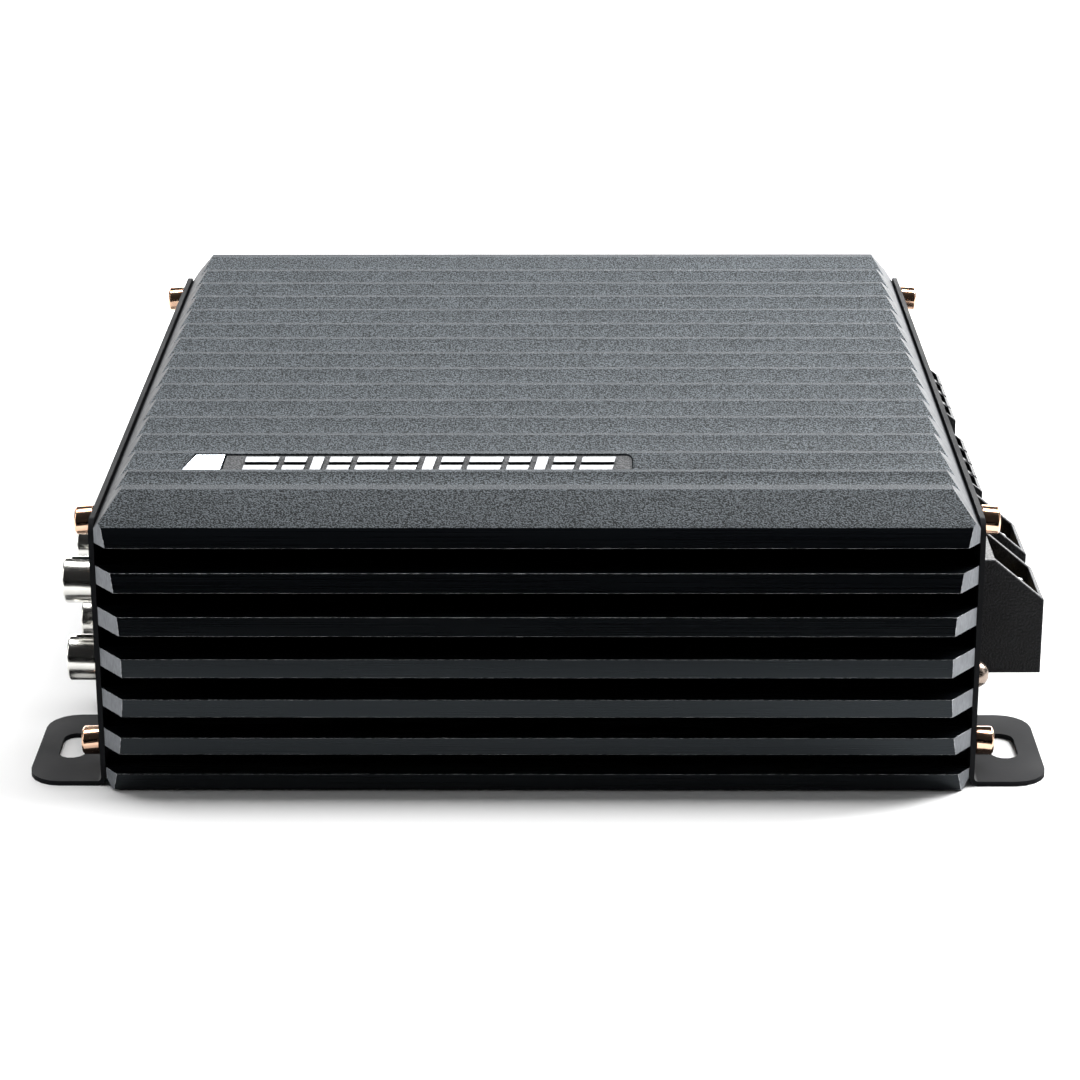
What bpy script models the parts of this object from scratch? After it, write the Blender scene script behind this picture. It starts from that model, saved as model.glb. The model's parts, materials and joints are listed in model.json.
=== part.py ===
"""Compact car amplifier: a finned aluminium extrusion closed by two bent end plates.

X runs along the extrusion from the signal end (-X) to the power end (+X), Y from front to
back and Z up. The origin is under the middle of the body, on the surface it stands on.
Sizes in this file are in millimetres; MM turns them into Blender's metres.
"""

from math import cos, radians, sin, sqrt, tau

import bmesh
import bpy
from mathutils import Matrix, Vector

MM = 0.001
GAP = 0.3  # clearance between neighbouring pieces
PLATE_GAP = 0.15  # clearance between the extrusion's flat ends and the plates

# Extruded body
BODY_HALF_X = 81.4  # half length of the extrusion
HALF_Y = 84.6  # half depth of the end plates, and of the body at its end faces
FIN_COUNT = 7
FIN_PITCH = 8.144
FIN_THICK = 3.63
FIN_TOP = 52.8  # top edge of the uppermost fin
FIN_BULGE = 6.2  # how far the middle fin stands out beyond the plates
FIN_BULGE_END = 2.3  # the same at the top and bottom of the stack
FIN_ROOT = HALF_Y - 7.5
LOW_ROOT = FIN_ROOT + 3.0  # the lowest channel is shallower, where the end plate screws go in
ROOT_FILLET = 1.4
WALL_IN = 74.1  # inner face of the side walls
CEILING = 50.0
CORNER_CUT = 6.0
LEDGE_IN = 69.5  # inner edge of the ledge that carries the circuit board
LEDGE_TOP = 7.7
LEDGE_BOTTOM = 3.6
BODY_BOTTOM = 0.3

# Saw-tooth ribs of the top
TOP_Z = 58.65
TOP_EDGE_Y = 82.2  # half width of the ribbed top
LAND = 2.6  # flat strip at the front and back of the ribs
RIB_PITCH = 10.77
RIB_COUNT = 14
RIB_FIRST_Y = -71.0
RIB_CREST = 1.3
RIB_DEPTH = 3.0
RIB_BACK_RUN = 4.9

# Milled bevels of the extrusion's ends
BEVEL_SLOPE = 0.75  # inward run in X of the top bevel for each millimetre of rise
BEVEL_SLOPE_SIDE = 0.8  # inward run of the upright bevels for each millimetre outward
BEVEL_TOP_Z = 52.0
BEVEL_BOTTOM_Z = 1.9
BEVEL_MARGIN = 0.3  # how far the extrusion's flat ends stand out past the plates
BEVEL_REACH = 9.0

# End plates and their feet
SHEET = 0.95
PLATE_IN = BODY_HALF_X + PLATE_GAP
PLATE_OUT = PLATE_IN + SHEET
PLATE_TOP = 53.0
PLATE_CORNER = 3.0
BEND_IN = 0.8
FOOT_REACH = 96.7
FOOT_DEPTH = 31.6
FOOT_CORNER = 6.2
SLOT_X = 89.9
SLOT_Y = HALF_Y - 16.6
SLOT_WIDTH = 5.3
SLOT_LENGTH = 11.7

# End plate screws, with centres as (y, z)
SCREW_TOP = (HALF_Y - 9.7, 50.1)
SCREW_LOW = (HALF_Y - 7.0, 6.4)
WASHER_THICK = 0.5  # collar under the heads of the lower screws
SCREW_HEAD_R = 2.75
SCREW_HEAD_H = 3.3
SCREW_SHANK_R = 1.35
SCREW_LENGTH = 10.0
SCREW_HOLE_R = 1.65
SOCKET_R = 1.45
SOCKET_DEEP = 1.8
PANEL_SCREW = (-76.4, 19.6)  # the dome-head screw low at the front of the power end
PANEL_SCREW_R = 2.65
PANEL_SCREW_DEEP = 4.5

# Circuit board and bottom cover
BOARD_BOTTOM = LEDGE_TOP + GAP
BOARD_TOP = BOARD_BOTTOM + 1.6
BOARD_HALF_X = 78.6
COVER_Z = 1.8
COVER_THICK = 1.5
COVER_SCREW_X = 66.0
COVER_SCREW_Y = 71.8
COVER_HOLE_R = 1.35

# Inner pieces
TRANSISTOR_HALF = 5.0  # half width of a transistor
TRANSISTOR_Z = (BOARD_TOP + 6.0, BOARD_TOP + 21.0)
TRANSISTOR_CASE = 9.2  # height of its case
TRANSISTOR_DEPTH = 4.6  # from the wall to the case's inner face
TAB_THICK = 1.3
LEG_PITCH = 2.54
BAR_Z = (BOARD_TOP + 8.0, BOARD_TOP + 14.0)
BAR_THICK = 3.0

# Signal input jacks
JACK_Y = (-64.6, -45.2)
JACK_Z = (18.1, 34.2)
JACK_R = 4.5
JACK_BORE = 3.75
JACK_CORE_R = 3.3
JACK_END = 90.4
JACK_SEAT = 79.6
JACK_PIN_R = 1.7  # bore of a core for the plug's pin
JACK_SLOT_HALF = 0.8
HOUSING_BACK = 62.0
HOUSING_MARGIN = 7.0

# Controls of the signal end
CONTROL_Y = {"gain": -22.0, "crossover": 2.0, "bass_boost": 26.0}
CONTROL_Z = 20.5
CONTROL_HALF = 5.5
ADJUSTER_R = 2.6
SWITCH_Y = 46.0
SWITCH_TRAVEL = 2.5
SWITCH_SLOT = (2.0 + SWITCH_TRAVEL, 1.8)  # half length and half height of its slot
SLIDER_HALF = (1.6, 1.4)
LIGHT_Y = 61.0
LIGHT_R = 1.5

# Power and speaker terminals
POWER_Y = {"ground": -58.2, "battery": -33.4}
POWER_DEPTH = 17.0
POWER_Z = (15.7, 38.9)
POWER_OUT = FOOT_REACH
POWER_SHOULDER = 87.0  # where the flat top of a block ends and its slope starts
POWER_WALL = 1.3
POWER_POCKET_X = (POWER_SHOULDER, POWER_OUT - 1.0)
POWER_SCREW_X = (POWER_POCKET_X[0] + POWER_POCKET_X[1]) / 2
POWER_SCREW_R = 2.6
POWER_WIRE_Z = 21.9
POWER_WIRE_R = 3.8
POWER_ENTRY_R = 4.2
POWER_DROP = 8.1  # fall of the sloping top
POWER_CLAMP_TOP = 28.6
POWER_SCREW_Z = (25.0, 31.6)
POWER_WINDOW_HALF = 7.3
POWER_WINDOW_Z = (18.0, 36.0)
POWER_NECK = 64.0  # where the part inside the case ends
SPEAKER_Y = {"front": 5.8, "rear": 53.0}
SPEAKER_PITCH = 8.3
SPEAKER_WAYS = 4
SPEAKER_Z = (17.0, 37.5)
SPEAKER_OUT = 91.8
SPEAKER_SHOULDER = 86.0
SPEAKER_POCKET_X = (SPEAKER_SHOULDER, SPEAKER_OUT - 0.9)
SPEAKER_SCREW_X = (SPEAKER_POCKET_X[0] + SPEAKER_POCKET_X[1]) / 2
SPEAKER_SCREW_R = 1.9
SPEAKER_DROP = 4.5
SPEAKER_HALF = SPEAKER_WAYS * SPEAKER_PITCH / 2
SPEAKER_POCKET_HALF = 3.3
SPEAKER_POCKET_FLOOR = 25.6
SPEAKER_ENTRY_HALF = 2.3
SPEAKER_ENTRY_Z = (18.6, 24.0)
SPEAKER_SCREW_Z = (24.1, 27.6)
SPEAKER_WINDOW_Z = (19.0, 31.0)
SPEAKER_NECK = 68.0
NICK_HALF = 0.6  # half width of the nicks between the ways
NICK_DEEP = 1.5
NICK_FLOOR = 27.0

# Name strip, let into the front slope of the second rib
STRIP_RIGHT = 17.9
STRIP_HEIGHT = 4.6
STRIP_EDGE = 0.35  # rib left between the strip and the crest
STRIP_CORNER = 1.1
STRIP_THICK = 0.75
STRIP_DEPTH = 1.35
STRIP_CLEAR = 0.15
TILE_LEFT = -64.7
TILE_RIGHT = -59.2
TILE_LEAN = 3.2
TILE_GAP = 0.3


def material(name, colour, roughness, metallic=0.0):
    """A Principled material with the finish of one kind of piece."""
    made = bpy.data.materials.new(name)
    made.use_nodes = True
    shader = made.node_tree.nodes["Principled BSDF"]
    shader.inputs["Base Color"].default_value = (*colour, 1.0)
    shader.inputs["Roughness"].default_value = roughness
    shader.inputs["Metallic"].default_value = metallic
    made.diffuse_color = (*colour, 1.0)
    return made


def add(name, mesh_builder, finish):
    """Turn a finished bmesh into an object, with round stretches shaded smooth."""
    bmesh.ops.remove_doubles(mesh_builder, verts=mesh_builder.verts, dist=1e-7)
    bmesh.ops.recalc_face_normals(mesh_builder, faces=mesh_builder.faces)
    mesh = bpy.data.meshes.new(name)
    mesh_builder.to_mesh(mesh)
    mesh_builder.free()
    mesh.materials.append(finish)
    mesh.shade_smooth()
    mesh.set_sharp_from_angle(angle=radians(32))
    made = bpy.data.objects.new(name, mesh)
    bpy.context.collection.objects.link(made)
    return made


def axes(axis):
    """Vectors of an outline's two directions and of its extrusion along an axis."""
    return {
        "X": (Vector((0, 1, 0)), Vector((0, 0, 1)), Vector((1, 0, 0))),
        "Y": (Vector((1, 0, 0)), Vector((0, 0, 1)), Vector((0, 1, 0))),
        "Z": (Vector((1, 0, 0)), Vector((0, 1, 0)), Vector((0, 0, 1))),
    }[axis]


def prism(name, outline, axis, low, high, finish=None):
    """Extrude a closed outline along an axis, from low to high."""
    across, up, along = axes(axis)
    shape = bmesh.new()
    rings = []
    for level in (low, high):
        rings.append([shape.verts.new((across * u + up * v + along * level) * MM) for u, v in outline])
    shape.faces.new(rings[0])
    shape.faces.new(list(reversed(rings[1])))
    count = len(outline)
    for i in range(count):
        j = (i + 1) % count
        shape.faces.new((rings[0][i], rings[0][j], rings[1][j], rings[1][i]))
    return add(name, shape, finish)


def box(name, x_range, y_range, z_range, finish=None):
    """A plain block between three pairs of limits."""
    (x0, x1), (y0, y1) = x_range, y_range
    outline = [(x0, y0), (x1, y0), (x1, y1), (x0, y1)]
    return prism(name, outline, "Z", z_range[0], z_range[1], finish)


def arc(centre, radius, start, end, steps):
    """Points of an arc, angles in degrees."""
    points = []
    for i in range(steps + 1):
        angle = radians(start + (end - start) * i / steps)
        points.append((centre[0] + radius * cos(angle), centre[1] + radius * sin(angle)))
    return points


def circle(centre, radius, sides):
    """Points of a regular polygon that stands for a circle."""
    return arc(centre, radius, 0, 360 - 360 / sides, sides - 1)


def combine(base, others, operation):
    """Apply a Boolean of each other object to the base, and remove the others."""
    for other in others:
        other.hide_render = True
        other.display_type = "WIRE"
        step = base.modifiers.new("combine", "BOOLEAN")
        step.operation = operation
        step.solver = "EXACT"
        step.object = other
        bpy.context.view_layer.update()
        evaluated = base.evaluated_get(bpy.context.evaluated_depsgraph_get())
        result = bpy.data.meshes.new_from_object(evaluated)
        base.modifiers.remove(step)
        previous = base.data
        base.data = result
        bpy.data.meshes.remove(previous)
        bpy.data.objects.remove(other)
    base.data.name = base.name
    base.data.shade_smooth()
    base.data.set_sharp_from_angle(angle=radians(32))
    return base


def cut(base, *cutters):
    return combine(base, cutters, "DIFFERENCE")


def fuse(base, *others):
    return combine(base, others, "UNION")


def turned(name, profile, axis, centre, finish, sides=16):
    """Turn a closed profile of (radius, level) points about an axis through centre."""
    across, up, along = axes(axis)
    origin = Vector(centre)
    shape = bmesh.new()
    rings = []
    for radius, level in profile:
        if radius == 0:
            rings.append([shape.verts.new((origin + along * level) * MM)])
            continue
        ring = []
        for i in range(sides):
            angle = tau * i / sides
            spoke = across * (radius * cos(angle)) + up * (radius * sin(angle))
            ring.append(shape.verts.new((origin + along * level + spoke) * MM))
        rings.append(ring)
    closed = profile[0][0] > 0
    pairs = list(zip(rings, rings[1:]))
    if closed:
        pairs.append((rings[-1], rings[0]))
    for one, two in pairs:
        for i in range(sides):
            j = (i + 1) % sides
            corners = [one[i % len(one)], one[j % len(one)], two[j % len(two)], two[i % len(two)]]
            distinct = list(dict.fromkeys(corners))
            if len(distinct) > 2:
                shape.faces.new(distinct)
    return add(name, shape, finish)


def set_origin(piece, point):
    """Move an object's origin to a point without moving its mesh in the world."""
    place = Vector(point) * MM
    piece.data.transform(Matrix.Translation(-place))
    piece.location = place


# ---- extruded body ----


def fin_tip(z):
    """Depth of the fins' curved envelope at a height."""
    middle = FIN_TOP - (FIN_COUNT - 1) * FIN_PITCH / 2 - FIN_THICK / 2
    half = middle - BODY_BOTTOM
    sag = FIN_BULGE - FIN_BULGE_END
    radius = (half * half + sag * sag) / (2 * sag)
    return HALF_Y + FIN_BULGE - radius + sqrt(radius * radius - (z - middle) ** 2)


def fin_side():
    """Outline of one long side from the top edge down to the bottom, as (depth, z)."""
    points = [(TOP_EDGE_Y, TOP_Z)]
    for n in range(FIN_COUNT):
        top = FIN_TOP - n * FIN_PITCH
        bottom = max(top - FIN_THICK, BODY_BOTTOM)
        points += [(fin_tip(top), top), (fin_tip(bottom), bottom)]
        if n == FIN_COUNT - 1:
            break
        next_top = top - FIN_PITCH
        root = LOW_ROOT if n == FIN_COUNT - 2 else FIN_ROOT
        points.append((root + ROOT_FILLET, bottom))
        points.append((root, bottom - ROOT_FILLET))
        points.append((root, next_top + ROOT_FILLET))
        points.append((root + ROOT_FILLET, next_top))
    return points


def rib_line():
    """Saw-tooth line of the top from back to front, as (y, z)."""
    trough_z = TOP_Z - RIB_DEPTH
    points = [(TOP_EDGE_Y - LAND, TOP_Z)]
    for n in reversed(range(RIB_COUNT)):
        crest = RIB_FIRST_Y + n * RIB_PITCH
        points.append((crest + RIB_BACK_RUN, trough_z))
        points.append((crest, TOP_Z))
        points.append((crest - RIB_CREST, TOP_Z))
    front_land = -TOP_EDGE_Y + LAND
    points.append((front_land + RIB_BACK_RUN, trough_z))
    points.append((front_land, TOP_Z))
    return points


def make_heatsink(finish):
    side = fin_side()
    inner = [
        (WALL_IN, BODY_BOTTOM),
        (WALL_IN, LEDGE_BOTTOM),
        (LEDGE_IN, LEDGE_BOTTOM),
        (LEDGE_IN, LEDGE_TOP),
        (WALL_IN, LEDGE_TOP),
        (WALL_IN, CEILING - CORNER_CUT),
        (WALL_IN - CORNER_CUT, CEILING),
    ]
    outline = rib_line()
    outline += [(-y, z) for y, z in side]
    outline += [(-y, z) for y, z in inner]
    outline += list(reversed(inner))
    outline += list(reversed(side))
    body = prism("heatsink", outline, "X", -BODY_HALF_X, BODY_HALF_X, finish)
    combine(body, [bevel_envelope()], "INTERSECT")
    holes = []
    for end in (-1, 1):
        for y, z in screw_places():
            holes.append(bore(end * (BODY_HALF_X + 1), end * (BODY_HALF_X - 11), y, z, SCREW_HOLE_R))
    holes.append(bore(BODY_HALF_X + 1, BODY_HALF_X - 5, *PANEL_SCREW, 1.3))
    for x in (-COVER_SCREW_X, COVER_SCREW_X):
        for y in (-COVER_SCREW_Y, COVER_SCREW_Y):
            holes.append(prism("hole", circle((x, y), COVER_HOLE_R, 12), "Z", 3.0, 6.6))
    return cut(body, *holes)


def bevel_envelope():
    """Convex solid whose sloping ends mill the bevels of the extrusion."""
    shape = bmesh.new()
    inner_x = BODY_HALF_X - BEVEL_SLOPE * BEVEL_REACH
    side_grow = BEVEL_REACH * BEVEL_SLOPE / BEVEL_SLOPE_SIDE
    for x, grow, spread in ((BODY_HALF_X, 0.0, 0.0), (inner_x, BEVEL_REACH, side_grow)):
        for end in (-1, 1):
            for side in (-1, 1):
                y = side * (HALF_Y + BEVEL_MARGIN + spread)
                for z in (BEVEL_TOP_Z + grow, BEVEL_BOTTOM_Z - grow):
                    shape.verts.new(Vector((end * x, y, z)) * MM)
    bmesh.ops.convex_hull(shape, input=shape.verts)
    return add("envelope", shape, None)


def screw_places():
    """Centres of the four screws of an end plate, as (y, z)."""
    return [(side * y, z) for side in (-1, 1) for y, z in (SCREW_LOW, SCREW_TOP)]


def bore(x0, x1, y, z, radius, sides=12):
    """A round cutter along X."""
    return prism("hole", circle((y, z), radius, sides), "X", min(x0, x1), max(x0, x1))


# ---- end plates ----


def plate_outline():
    """Upright outline of an end plate, with round upper corners."""
    corner = HALF_Y - PLATE_CORNER
    points = [(HALF_Y, BEND_IN + SHEET)]
    points += arc((corner, PLATE_TOP - PLATE_CORNER), PLATE_CORNER, 0, 90, 4)
    points += arc((-corner, PLATE_TOP - PLATE_CORNER), PLATE_CORNER, 90, 180, 4)
    points.append((-HALF_Y, BEND_IN + SHEET))
    return points


def foot(end, side):
    """One bent foot: a flat tongue with round corners and the bend up to the plate."""
    centre_x = PLATE_OUT + BEND_IN
    inner_y = HALF_Y - FOOT_DEPTH
    corner_x = FOOT_REACH - FOOT_CORNER
    tongue = [(centre_x - 0.2, inner_y), (corner_x, inner_y)]
    tongue += arc((corner_x, inner_y + FOOT_CORNER), FOOT_CORNER, 270, 360, 5)[1:]
    tongue += arc((corner_x, HALF_Y - FOOT_CORNER), FOOT_CORNER, 0, 90, 5)
    tongue.append((centre_x - 0.2, HALF_Y))
    flat = prism("foot", [(end * x, side * y) for x, y in tongue], "Z", 0.0, SHEET)
    z = SHEET + BEND_IN
    bend = arc((centre_x, z), BEND_IN + SHEET, 180, 270, 5)
    bend += [(centre_x + 0.3, 0.0), (centre_x + 0.3, SHEET)]
    bend += arc((centre_x, z), BEND_IN, 270, 180, 4)
    bend += [(PLATE_OUT, z + 0.3), (PLATE_IN, z + 0.3)]
    low, high = sorted((side * inner_y, side * HALF_Y))
    curve = prism("bend", [(end * x, v) for x, v in bend], "Y", low, high)
    return flat, curve


def make_end_plate(name, end, finish):
    low, high = sorted((end * PLATE_IN, end * PLATE_OUT))
    plate = prism(name, plate_outline(), "X", low, high, finish)
    for side in (-1, 1):
        fuse(plate, *foot(end, side))
    cutters = []
    for side in (-1, 1):
        half = SLOT_LENGTH / 2 - SLOT_WIDTH / 2
        slot = arc((end * SLOT_X, side * SLOT_Y + half), SLOT_WIDTH / 2, 0, 180, 7)
        slot += arc((end * SLOT_X, side * SLOT_Y - half), SLOT_WIDTH / 2, 180, 360, 7)
        cutters.append(prism("slot", slot, "Z", -1, 3))
    span = (end * (PLATE_IN - 1), end * (PLATE_OUT + 1))
    for y, z in screw_places():
        cutters.append(bore(*span, y, z, SCREW_HOLE_R))
    return cut(plate, *cutters)


def window(end, y_range, z_range):
    """A rectangular cutter through an end plate."""
    x_range = sorted((end * (PLATE_IN - 1), end * (PLATE_OUT + 1)))
    return box("window", x_range, y_range, z_range)


def open_left_plate(plate):
    """Holes of the signal end: jacks, adjusters, switch and indicator."""
    span = (-(PLATE_IN - 1), -(PLATE_OUT + 1))
    cutters = [bore(*span, y, z, JACK_R + GAP, 20) for y in JACK_Y for z in JACK_Z]
    cutters += [bore(*span, y, CONTROL_Z, ADJUSTER_R + 0.5, 16) for y in CONTROL_Y.values()]
    cutters.append(window(-1, *switch_slot()))
    cutters.append(bore(*span, LIGHT_Y, CONTROL_Z, LIGHT_R + GAP))
    return cut(plate, *cutters)


def switch_slot():
    """Limits of the slider's slot in Y and Z."""
    half_y, half_z = SWITCH_SLOT
    return (SWITCH_Y - half_y, SWITCH_Y + half_y), (CONTROL_Z - half_z, CONTROL_Z + half_z)


def open_right_plate(plate):
    """Holes of the power end: terminal blocks and the dome-head screw."""
    cutters = []
    for y in POWER_Y.values():
        cutters.append(window(1, (y - POWER_WINDOW_HALF, y + POWER_WINDOW_HALF), POWER_WINDOW_Z))
    half = SPEAKER_HALF - 1.0
    for y in SPEAKER_Y.values():
        cutters.append(window(1, (y - half, y + half), SPEAKER_WINDOW_Z))
    cutters.append(bore(PLATE_IN - 1, PLATE_OUT + 1, *PANEL_SCREW, 1.5))
    return cut(plate, *cutters)


# ---- fasteners ----


def make_cap_screw(name, end, y, z, collar, finish):
    """Socket cap screw along X with its head outside an end plate, over a collar."""
    seat = PLATE_OUT + GAP + collar
    top = seat + SCREW_HEAD_H
    floor = top - SOCKET_DEEP
    profile = [(0, -SCREW_LENGTH), (SCREW_SHANK_R, -SCREW_LENGTH)]
    if collar:
        profile += [(SCREW_SHANK_R, -collar), (SCREW_HEAD_R - 0.15, -collar), (SCREW_HEAD_R - 0.15, 0)]
    else:
        profile.append((SCREW_SHANK_R, 0))
    profile += [
        (SCREW_HEAD_R, 0),
        (SCREW_HEAD_R, SCREW_HEAD_H - 0.35),
        (SCREW_HEAD_R - 0.35, SCREW_HEAD_H),
        (0, SCREW_HEAD_H),
    ]
    profile = [(radius, end * (seat + level)) for radius, level in profile]
    screw = turned(name, profile, "X", (0, y, z), finish)
    socket = prism("socket", circle((y, z), SOCKET_R, 6), "X", *sorted((end * floor, end * (top + 1))))
    return cut(screw, socket)


def make_panel_screw(finish):
    seat = PLATE_OUT + GAP
    head = PANEL_SCREW_R
    tip = seat - PANEL_SCREW_DEEP
    profile = [(0, tip), (1.0, tip), (1.0, seat), (head, seat)]
    profile += [(head * cos(radians(a)), seat + head * sin(radians(a))) for a in (22, 44, 66)]
    profile.append((0, seat + head))
    return turned("panel_screw", profile, "X", (0, *PANEL_SCREW), finish)


def make_cover_screw(name, x, y, finish):
    """Flat-topped screw that holds the bottom cover to the ledge, head below."""
    under = COVER_Z - GAP
    profile = [(0, 6.2), (1.05, 6.2), (1.05, under), (2.4, under), (2.1, under - 0.9), (0, under - 0.9)]
    screw = turned(name, profile, "Z", (x, y, 0), finish, 12)
    slot = box("slot", (x - 1.3, x + 1.3), (y - 0.3, y + 0.3), (under - 2, under - 0.5))
    return cut(screw, slot)


# ---- circuit board, cover and inner pieces ----


def make_board(finish):
    half_y = WALL_IN - GAP
    level = (BOARD_BOTTOM, BOARD_TOP)
    return box("circuit_board", (-BOARD_HALF_X, BOARD_HALF_X), (-half_y, half_y), level, finish)


def make_cover(finish):
    half_y = WALL_IN - GAP
    level = (COVER_Z, COVER_Z + COVER_THICK)
    cover = box("bottom_cover", (-BODY_HALF_X + 0.6, BODY_HALF_X - 0.6), (-half_y, half_y), level, finish)
    holes = []
    for x in (-COVER_SCREW_X, COVER_SCREW_X):
        for y in (-COVER_SCREW_Y, COVER_SCREW_Y):
            holes.append(prism("hole", circle((x, y), COVER_HOLE_R, 12), "Z", 0, 5))
    return cut(cover, *holes)


def make_ring(name, x, y, ring_r, tube_r, finish, sides=(22, 10)):
    """A wound ring core lying on the circuit board."""
    z = BOARD_TOP + GAP + tube_r
    profile = []
    for i in range(sides[1]):
        angle = tau * i / sides[1]
        profile.append((ring_r + tube_r * cos(angle), z + tube_r * sin(angle)))
    return turned(name, profile, "Z", (x, y, 0), finish, sides[0])


def make_capacitor(name, x, y, radius, height, finish):
    z = BOARD_TOP + GAP
    profile = [
        (0, z),
        (radius - 0.5, z),
        (radius, z + 0.6),
        (radius, z + height - 0.6),
        (radius - 0.6, z + height),
        (0, z + height),
    ]
    return turned(name, profile, "Z", (x, y, 0), finish, 18)


def make_transistor(name, x, side, finish):
    """Power transistor with its tab against a side wall and its legs towards the board."""
    wall = WALL_IN - GAP
    width = (x - TRANSISTOR_HALF, x + TRANSISTOR_HALF)
    low = TRANSISTOR_Z[0]
    tab_y = sorted((side * (wall - TAB_THICK), side * wall))
    tab = box(name, width, tab_y, TRANSISTOR_Z, finish)
    case_y = sorted((side * (wall - TRANSISTOR_DEPTH), side * (wall - TAB_THICK + 0.4)))
    parts = [box("case", width, case_y, (low, low + TRANSISTOR_CASE))]
    leg_y = sorted((side * (wall - 3.2), side * (wall - 2.4)))
    for leg_x in (x - LEG_PITCH, x, x + LEG_PITCH):
        parts.append(box("leg", (leg_x - 0.5, leg_x + 0.5), leg_y, (BOARD_TOP + GAP, low + 1)))
    return fuse(tab, *parts)


def make_clamp_bar(name, side, x_range, finish):
    """Bar that presses a pair of transistors against a side wall."""
    face = WALL_IN - GAP - TRANSISTOR_DEPTH - GAP
    y_range = sorted((side * (face - BAR_THICK), side * face))
    bar = box(name, x_range, y_range, BAR_Z, finish)
    middle = sum(x_range) / 2
    nose_y = sorted((side * (face - 0.5), side * (WALL_IN - GAP)))
    nose = box("nose", (middle - 4, middle + 4), nose_y, BAR_Z)
    return fuse(bar, nose)


# ---- signal end ----


def make_jack_housing(finish):
    """Moulding behind the plate with one core inside each jack shell."""
    top = JACK_Z[1] + 7.5
    housing = box(
        "rca_housing",
        (-(JACK_SEAT - GAP), -HOUSING_BACK),
        (JACK_Y[0] - HOUSING_MARGIN, JACK_Y[1] + HOUSING_MARGIN),
        (BOARD_TOP + GAP, top),
        finish,
    )
    cores = []
    pins = []
    for y in JACK_Y:
        for z in JACK_Z:
            cores.append(prism("core", circle((y, z), JACK_CORE_R, 16), "X", -(JACK_END - 1.2), -70.0))
            pins.append(bore(-(JACK_END + 1), -(JACK_SEAT + 1), y, z, JACK_PIN_R))
    return cut(fuse(housing, *cores), *pins)


def make_jack_shell(name, y, z, finish):
    """Plated barrel of one input jack, with a slot along its top and bottom."""
    profile = [
        (JACK_BORE, -JACK_SEAT),
        (JACK_BORE, -(JACK_END - 0.4)),
        (JACK_BORE + 0.25, -JACK_END),
        (JACK_R - 0.3, -JACK_END),
        (JACK_R, -(JACK_END - 0.4)),
        (JACK_R, -JACK_SEAT),
    ]
    shell = turned(name, profile, "X", (0, y, z), finish, 20)
    half = JACK_SLOT_HALF
    near = -(PLATE_OUT - 0.5)
    slot = arc((-(JACK_END - 2.2), y), half, 90, 270, 4) + [(near, y - half), (near, y + half)]
    return cut(shell, prism("slot", slot, "Z", z - 6, z + 6))


def make_control(name, y, finish):
    """Body of a panel potentiometer on the circuit board."""
    x_range = (-(PLATE_IN - 2.0), -(PLATE_IN - 11.0))
    z_range = (BOARD_TOP + GAP, CONTROL_Z + CONTROL_HALF)
    body = box(name, x_range, (y - CONTROL_HALF, y + CONTROL_HALF), z_range, finish)
    return cut(body, bore(-(PLATE_IN + 1), -(PLATE_IN - 6.3), y, CONTROL_Z, ADJUSTER_R + GAP, 16))


def make_adjuster(name, y, finish):
    """Slotted shaft that a small screwdriver turns."""
    start = PLATE_IN - 6.0
    tip = PLATE_OUT + 0.6
    profile = [
        (0, -start),
        (ADJUSTER_R, -start),
        (ADJUSTER_R, -(tip - 0.3)),
        (ADJUSTER_R - 0.3, -tip),
        (0, -tip),
    ]
    shaft = turned(name, profile, "X", (0, y, CONTROL_Z), finish, 16)
    slot = box("slot", (-(tip + 1), -(tip - 1.0)), (y - 0.45, y + 0.45), (CONTROL_Z - 0.6, CONTROL_Z + 4))
    cut(shaft, slot)
    set_origin(shaft, (-PLATE_OUT, y, CONTROL_Z))
    return shaft


def make_switch(finish, slider_finish):
    """Three-position slide switch: its body, and the slider in its own slot."""
    x_range = (-(PLATE_IN - 1.0), -(PLATE_IN - 8.0))
    z_range = (BOARD_TOP + GAP, CONTROL_Z + 3.5)
    body = box("filter_switch", x_range, (SWITCH_Y - 7, SWITCH_Y + 7), z_range, finish)
    cut(body, box("slot", (-(PLATE_IN + 1), -(PLATE_IN - 5.0)), *switch_slot()))
    half_y, half_z = SLIDER_HALF
    nub = (-(PLATE_OUT + 1.2), -(PLATE_IN - 4.6))
    z_range = (CONTROL_Z - half_z, CONTROL_Z + half_z)
    slider = box("filter_slider", nub, (SWITCH_Y - half_y, SWITCH_Y + half_y), z_range, slider_finish)
    set_origin(slider, (-PLATE_OUT, SWITCH_Y, CONTROL_Z))
    return body, slider


def make_light(finish):
    base = PLATE_IN - 7.0
    tip = PLATE_OUT + 1.0
    profile = [(0, -base), (LIGHT_R, -base), (LIGHT_R, -(tip - 1.0))]
    profile += [(LIGHT_R - 0.4, -(tip - 0.3)), (0, -tip)]
    return turned("indicator_light", profile, "X", (0, LIGHT_Y, CONTROL_Z), finish, 12)


# ---- power end ----


def sloped_block(low, high, shoulder, out, drop):
    """Side profile of a terminal block: flat top by the plate, then sloping from its shoulder."""
    start = PLATE_OUT + GAP
    return [(start, low), (out, low), (out, high - drop), (shoulder, high), (start, high)]


def make_neck(inner_x, y, half, z_range):
    """Part of a terminal that passes through its window into the case."""
    low, high = z_range
    y_range = (y - half + GAP, y + half - GAP)
    return box("neck", (inner_x, PLATE_OUT + 1), y_range, (low + GAP, high - GAP))


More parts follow.
